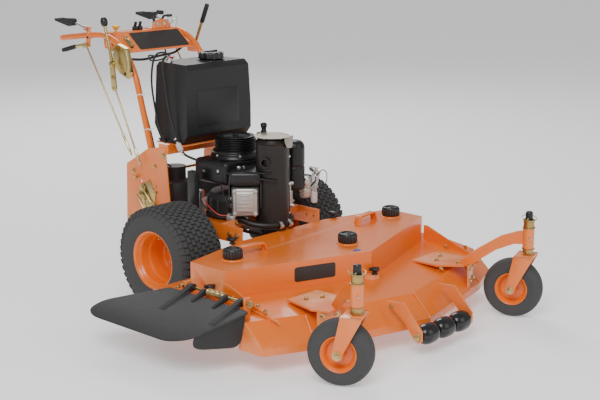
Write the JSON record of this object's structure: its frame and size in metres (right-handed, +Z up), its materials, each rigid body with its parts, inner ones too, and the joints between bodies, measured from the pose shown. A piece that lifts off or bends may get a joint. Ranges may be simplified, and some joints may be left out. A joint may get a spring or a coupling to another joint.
{
  "type": "walk-behind mower",
  "caption": "Walk-behind wide-cut mower: triple-blade deck with belt cover, side chute, front casters, engine, fuel tank and handlebar levers.",
  "frame": {"origin": "on the ground, at the middle of the underside of the machine's bounding box", "axes": "+Z up, -Y towards the front casters, +X towards the machine's left"},
  "size_m": [1.6886, 2.2167, 1.2472],
  "materials": {
    "orange_paint": "gloss orange powder coat on sheet steel, lighter along worn folded edges",
    "moulded_plastic": "black rotationally moulded plastic with a fine stipple",
    "black_plastic": "satin black injection moulded plastic",
    "tyre_rubber": "black tyre rubber, slightly greyed on the tread",
    "black_rubber": "matt black rubber",
    "bare_steel": "ground steel",
    "cast_metal": "dark grey cast and painted metal",
    "cast_aluminium": "sand-cast and die-cast aluminium",
    "black_paint": "heat-resistant satin black paint",
    "zinc_plate": "yellow zinc plating on steel",
    "yellow_plastic": "yellow moulded plastic"
  },
  "bodies": {
    "chassis": {"frame_rail_left": "orange_paint", "frame_rail_right": "orange_paint", "engine_deck": "orange_paint", "tank_shelf": "orange_paint", "wheel_motor_left": "cast_metal", "wheel_motor_right": "cast_metal", "hydro_pumps": "cast_metal", "deck_shell": "orange_paint", "belt_cover": "orange_paint", "deck_belt": "black_rubber", "drive_belt": "black_rubber", "chute_hinge_rod": "zinc_plate", "caster_arm_left": "orange_paint", "caster_arm_right": "orange_paint", "roller_arm_right": "orange_paint", "roller_arm_left": "orange_paint", "crankcase": "cast_metal", "blower_housing": "moulded_plastic", "muffler": "black_paint", "fuel_tank": "moulded_plastic", "fuel_hose": "black_rubber", "handlebar_right": "orange_paint", "handlebar_left": "orange_paint", "console": "orange_paint", "speed_quadrant": "zinc_plate"},
    "drive_wheel_right": {"drive_rim_right": "orange_paint", "drive_tyre_right": "tyre_rubber"},
    "caster_fork_right": {"caster_fork_right": "orange_paint"},
    "caster_wheel_right": {"caster_rim_right": "orange_paint", "caster_tyre_right": "tyre_rubber"},
    "drive_wheel_left": {"drive_rim_left": "orange_paint", "drive_tyre_left": "tyre_rubber"},
    "caster_fork_left": {"caster_fork_left": "orange_paint"},
    "caster_wheel_left": {"caster_rim_left": "orange_paint", "caster_tyre_left": "tyre_rubber"},
    "roller_right": {"roller_right": "black_plastic"},
    "roller_middle": {"roller_middle": "black_plastic"},
    "roller_left": {"roller_left": "black_plastic"},
    "crankshaft": {"crankshaft": "bare_steel"},
    "cutter_right": {"spindle_right": "bare_steel", "blade_right": "bare_steel"},
    "cutter_middle": {"spindle_middle": "bare_steel", "blade_middle": "bare_steel"},
    "cutter_left": {"spindle_left": "bare_steel", "blade_left": "bare_steel"},
    "discharge_chute": {"discharge_chute": "moulded_plastic"},
    "cover_knob_front": {"cover_knob_front": "black_plastic"},
    "cover_knob_corner": {"cover_knob_corner": "black_plastic"},
    "cover_knob_rear_right": {"cover_knob_rear_right": "black_plastic"},
    "cover_knob_rear_left": {"cover_knob_rear_left": "black_plastic"},
    "fuel_cap": {"fuel_cap": "black_plastic"},
    "presence_lever_right": {"presence_lever_right": "black_plastic"},
    "drive_lever_right": {"drive_lever_right": "black_plastic"},
    "control_rod_right": {"control_rod_right": "zinc_plate"},
    "presence_lever_left": {"presence_lever_left": "black_plastic"},
    "drive_lever_left": {"drive_lever_left": "black_plastic"},
    "control_rod_left": {"control_rod_left": "zinc_plate"},
    "speed_lever": {"speed_lever": "zinc_plate"},
    "brake_lever": {"brake_lever": "zinc_plate"},
    "pto_knob": {"pto_knob": "yellow_plastic"}
  },
  "joints": [
    {"name": "drive_wheel_right_spin", "type": "hinge", "parent": "chassis", "child": "drive_wheel_right", "pos_m": [-0.25973, 0.16154, 0.22749], "axis": [1, 0, 0], "continuous": true},
    {"name": "caster_swivel_right", "type": "hinge", "parent": "chassis", "child": "caster_fork_right", "pos_m": [-0.41673, -1.03346, 0.3], "axis": [0, 0, 1], "continuous": true},
    {"name": "caster_wheel_right_spin", "type": "hinge", "parent": "caster_fork_right", "child": "caster_wheel_right", "pos_m": [-0.44124, -0.98089, 0.12507], "axis": [0.9063, 0.4226, 0], "continuous": true},
    {"name": "drive_wheel_left_spin", "type": "hinge", "parent": "chassis", "child": "drive_wheel_left", "pos_m": [0.51627, 0.16154, 0.22749], "axis": [1, 0, 0], "continuous": true},
    {"name": "caster_swivel_left", "type": "hinge", "parent": "chassis", "child": "caster_fork_left", "pos_m": [0.67327, -1.03346, 0.3], "axis": [0, 0, 1], "continuous": true},
    {"name": "caster_wheel_left_spin", "type": "hinge", "parent": "caster_fork_left", "child": "caster_wheel_left", "pos_m": [0.65343, -0.97896, 0.12507], "axis": [0.9397, 0.342, 0], "continuous": true},
    {"name": "roller_right_spin", "type": "hinge", "parent": "chassis", "child": "roller_right", "pos_m": [0.02627, -1.01346, 0.084], "axis": [1, 0, 0], "continuous": true},
    {"name": "roller_middle_spin", "type": "hinge", "parent": "chassis", "child": "roller_middle", "pos_m": [0.12827, -1.01346, 0.084], "axis": [1, 0, 0], "continuous": true},
    {"name": "roller_left_spin", "type": "hinge", "parent": "chassis", "child": "roller_left", "pos_m": [0.23027, -1.01346, 0.084], "axis": [1, 0, 0], "continuous": true},
    {"name": "crankshaft_spin", "type": "hinge", "parent": "chassis", "child": "crankshaft", "pos_m": [0.12827, 0.15654, 0.3], "axis": [0, 0, 1], "continuous": true},
    {"name": "cutter_right_spin", "type": "hinge", "parent": "chassis", "child": "cutter_right", "pos_m": [-0.33773, -0.35146, 0.11], "axis": [0, 0, 1], "continuous": true},
    {"name": "cutter_middle_spin", "type": "hinge", "parent": "chassis", "child": "cutter_middle", "pos_m": [0.12827, -0.50346, 0.11], "axis": [0, 0, 1], "continuous": true},
    {"name": "cutter_left_spin", "type": "hinge", "parent": "chassis", "child": "cutter_left", "pos_m": [0.59427, -0.35146, 0.11], "axis": [0, 0, 1], "continuous": true},
    {"name": "discharge_chute_lift", "type": "hinge", "parent": "chassis", "child": "discharge_chute", "pos_m": [-0.54373, -0.43346, 0.247], "axis": [0, 1, 0], "range_deg": [0, 75]},
    {"name": "cover_knob_front_turn", "type": "hinge", "parent": "chassis", "child": "cover_knob_front", "pos_m": [0.11427, -0.66846, 0.232], "axis": [0, 0, 1], "continuous": true},
    {"name": "cover_knob_corner_turn", "type": "hinge", "parent": "chassis", "child": "cover_knob_corner", "pos_m": [-0.50773, -0.35846, 0.232], "axis": [0, 0, 1], "continuous": true},
    {"name": "cover_knob_rear_right_turn", "type": "hinge", "parent": "chassis", "child": "cover_knob_rear_right", "pos_m": [-0.18673, -0.14546, 0.322], "axis": [0, 0, 1], "continuous": true},
    {"name": "cover_knob_rear_left_turn", "type": "hinge", "parent": "chassis", "child": "cover_knob_rear_left", "pos_m": [0.44327, -0.14546, 0.322], "axis": [0, 0, 1], "continuous": true},
    {"name": "fuel_cap_turn", "type": "hinge", "parent": "chassis", "child": "fuel_cap", "pos_m": [0.15827, 0.34154, 1.03], "axis": [0, 0, 1], "continuous": true},
    {"name": "presence_lever_right_press", "type": "hinge", "parent": "chassis", "child": "presence_lever_right", "pos_m": [-0.11573, 0.89154, 1.146], "axis": [-1, 0, 0], "range_deg": [0, 12], "stiffness_Nm_per_rad": 4, "springref_deg": -22.92},
    {"name": "drive_lever_right_squeeze", "type": "hinge", "parent": "chassis", "child": "drive_lever_right", "pos_m": [-0.11573, 0.90154, 1.066], "axis": [1, 0, 0], "range_deg": [0, 14], "stiffness_Nm_per_rad": 6, "springref_deg": -28.65},
    {"name": "control_rod_right_swing", "type": "hinge", "parent": "drive_lever_right", "child": "control_rod_right", "pos_m": [-0.12973, 0.87154, 1.068], "axis": [1, 0, 0], "range_deg": [-14, 0]},
    {"name": "presence_lever_left_press", "type": "hinge", "parent": "chassis", "child": "presence_lever_left", "pos_m": [0.37227, 0.89154, 1.146], "axis": [-1, 0, 0], "range_deg": [0, 12], "stiffness_Nm_per_rad": 4, "springref_deg": -22.92},
    {"name": "drive_lever_left_squeeze", "type": "hinge", "parent": "chassis", "child": "drive_lever_left", "pos_m": [0.37227, 0.90154, 1.066], "axis": [1, 0, 0], "range_deg": [0, 14], "stiffness_Nm_per_rad": 6, "springref_deg": -28.65},
    {"name": "control_rod_left_swing", "type": "hinge", "parent": "drive_lever_left", "child": "control_rod_left", "pos_m": [0.38627, 0.87154, 1.068], "axis": [1, 0, 0], "range_deg": [-14, 0]},
    {"name": "speed_lever_shift", "type": "hinge", "parent": "chassis", "child": "speed_lever", "pos_m": [-0.13773, 0.67654, 1], "axis": [1, 0, 0], "range_deg": [-12, 14]},
    {"name": "brake_lever_pull", "type": "hinge", "parent": "chassis", "child": "brake_lever", "pos_m": [0.37227, 0.68654, 1.046], "axis": [-1, 0, 0], "range_deg": [0, 40]},
    {"name": "pto_knob_pull", "type": "slide", "parent": "chassis", "child": "pto_knob", "axis": [0, 0, 1], "range_m": [0, 0.012]}
  ],
  "couplings": [
    {"joint": "cutter_right_spin", "follows": "cutter_middle_spin", "ratio": 1},
    {"joint": "cutter_left_spin", "follows": "cutter_middle_spin", "ratio": 1},
    {"joint": "crankshaft_spin", "follows": "cutter_middle_spin", "ratio": 0.8387},
    {"joint": "control_rod_right_swing", "follows": "drive_lever_right_squeeze", "ratio": -1},
    {"joint": "control_rod_left_swing", "follows": "drive_lever_left_squeeze", "ratio": -1}
  ]
}
